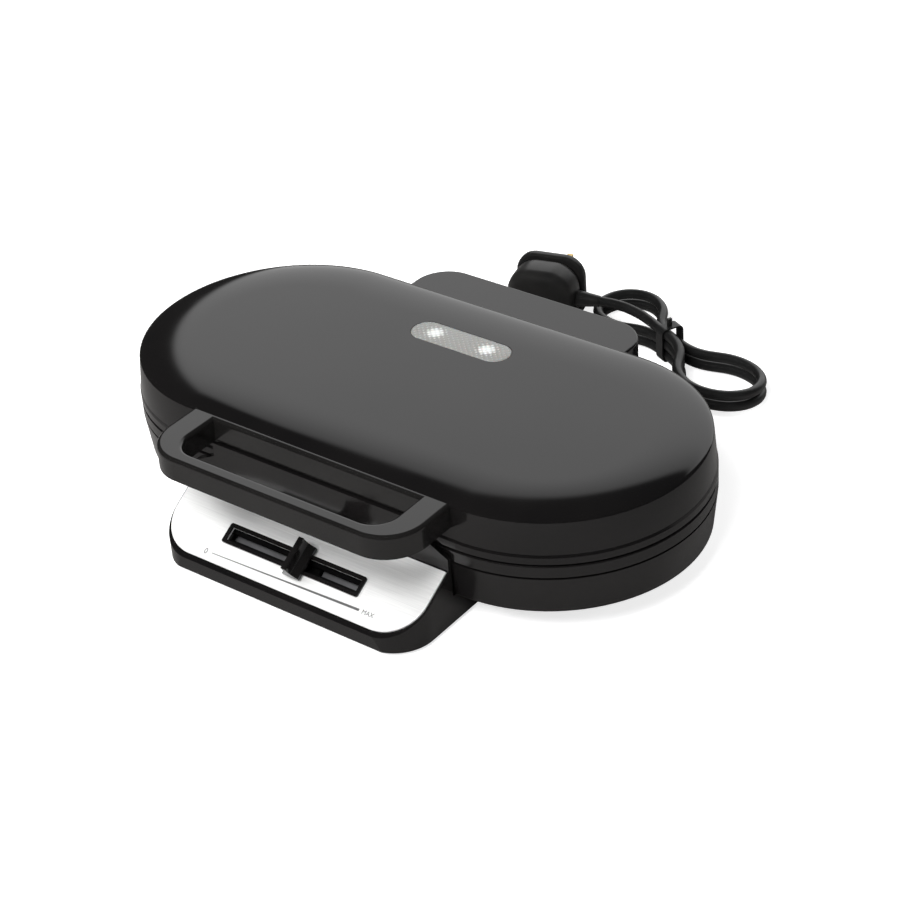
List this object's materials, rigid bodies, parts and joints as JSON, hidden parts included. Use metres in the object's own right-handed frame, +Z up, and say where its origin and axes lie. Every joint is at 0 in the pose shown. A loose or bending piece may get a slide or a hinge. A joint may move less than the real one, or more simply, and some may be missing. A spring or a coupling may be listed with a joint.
{
  "type": "double waffle maker",
  "caption": "Long round-ended clamshell waffle maker with two round beds side by side, rear hinge, loop handle, sloping steel control panel with a browning slider and a tied mains lead.",
  "frame": {"origin": "on the table under the middle of the body, control housing and hinge block", "axes": "+X to the right along the long body, -Y to the front with handle and controls, +Z up"},
  "size_m": [0.4, 0.4125, 0.0881],
  "materials": {
    "black_gloss": "gloss black moulded plastic",
    "black_satin": "satin black moulded plastic",
    "brass": "bright brass",
    "brushed": "brushed stainless steel",
    "ceramic": "cream ceramic",
    "coated_cast": "non-stick coated cast aluminium",
    "cord": "black flexible sheath",
    "element_steel": "oxidised steel sheath",
    "inner_plastic": "dark grey heat-resistant plastic",
    "lamp_green": "green lamp",
    "lamp_red": "red neon lamp",
    "rubber": "black rubber",
    "screw_steel": "zinc-plated steel",
    "sheet_steel": "plain pressed steel",
    "window": "frosted moulded plastic",
    "wire": "glass-braided wire"
  },
  "bodies": {
    "base": {"base_housing": "black_gloss", "base_rim": "black_gloss", "bottom_cover": "black_satin", "rubber_feet": "rubber", "bottom_screws": "screw_steel", "lower_waffle_plate_left": "coated_cast", "lower_waffle_plate_right": "coated_cast", "lower_heating_element_left": "element_steel", "lower_heating_element_right": "element_steel", "lower_heat_shield": "sheet_steel", "lower_plate_screws": "screw_steel", "base_thermostat": "ceramic", "thermal_fuse": "ceramic", "terminal_block": "inner_plastic", "base_wiring": "wire", "rear_housing": "black_gloss", "hinge_bracket_left": "sheet_steel", "hinge_bracket_right": "sheet_steel", "bracket_screws": "screw_steel", "strain_relief": "black_satin", "control_housing": "black_gloss", "control_screws": "screw_steel", "control_faceplate": "brushed", "slider_bezel": "black_satin", "slider_track": "inner_plastic", "slide_resistor": "inner_plastic", "power_cord": "cord", "cord_hank": "cord", "cord_tie": "inner_plastic", "plug_lead": "cord", "plug_body": "black_satin", "plug_pins": "brass", "plug_fuse_carrier": "inner_plastic"},
    "lid": {"lid_housing": "black_gloss", "lid_rim": "black_gloss", "upper_waffle_plate_left": "coated_cast", "upper_waffle_plate_right": "coated_cast", "upper_heating_element_left": "element_steel", "upper_heating_element_right": "element_steel", "upper_heat_shield": "sheet_steel", "upper_plate_screws": "screw_steel", "indicator_window": "window", "power_lamp": "lamp_red", "ready_lamp": "lamp_green", "lamp_holder": "inner_plastic", "lid_wiring": "wire", "handle_frame": "black_gloss", "handle_screws": "screw_steel", "hinge_cover": "black_gloss", "hinge_pin_left": "screw_steel", "hinge_pin_right": "screw_steel", "cover_screws": "screw_steel"},
    "slider": {"slider_carriage": "inner_plastic", "slider_knob": "black_satin"}
  },
  "joints": [
    {"name": "lid_hinge", "type": "hinge", "parent": "base", "child": "lid", "pos_m": [0, 0.1325, 0.06], "axis": [-1, 0, 0], "range_deg": [0, 100]},
    {"name": "browning_slide", "type": "slide", "parent": "base", "child": "slider", "axis": [1, 0, 0], "range_m": [-0.044, 0.032]}
  ]
}
